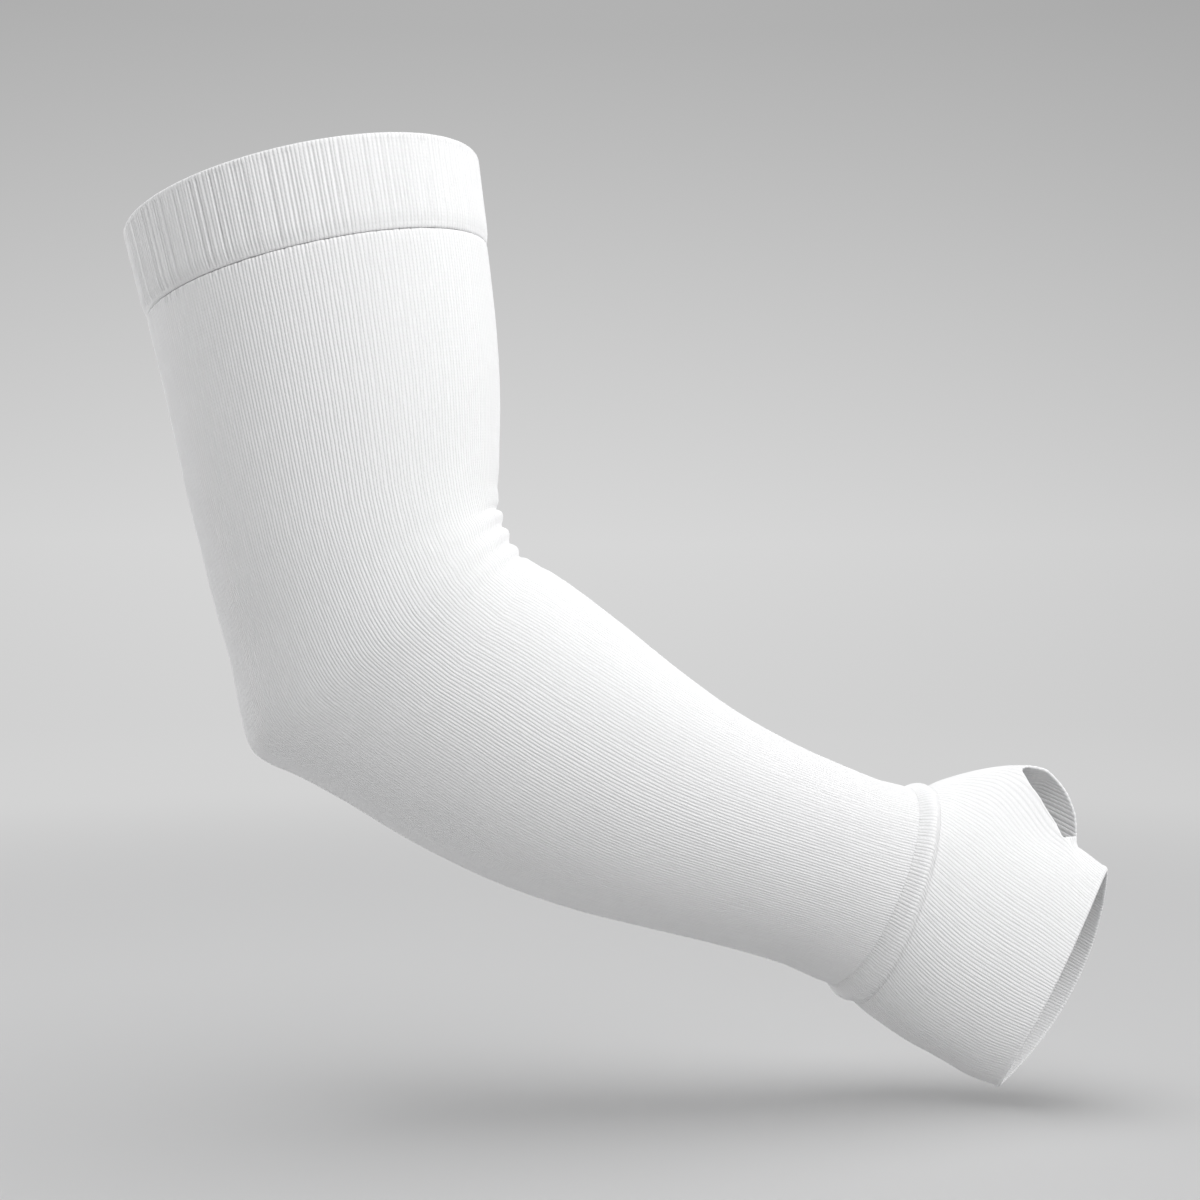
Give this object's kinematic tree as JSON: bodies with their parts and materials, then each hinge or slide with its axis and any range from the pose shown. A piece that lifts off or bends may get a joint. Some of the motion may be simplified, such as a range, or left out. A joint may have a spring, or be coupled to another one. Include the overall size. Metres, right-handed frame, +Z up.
{
  "type": "knitted arm sleeve with a hand cover",
  "caption": "Knitted arm sleeve in the form of a bent right arm: doubled top band, tube, raised wrist welt and a hand cover with a thumb opening.",
  "frame": {"origin": "centre of the upper opening, at the top edge of the band, where the arm goes in", "axes": "+Z up, +X from the elbow's side towards the hand, +Y away from the side that shows the back of the hand"},
  "size_m": [0.3819, 0.1317, 0.3571],
  "materials": {
    "white_knit": "matt fine-ribbed white knit with a soft sheen"
  },
  "bodies": {
    "root": {"upper_band": "white_knit", "sleeve_body": "white_knit", "wrist_welt": "white_knit", "hand_cover": "white_knit"}
  },
  "joints": []
}
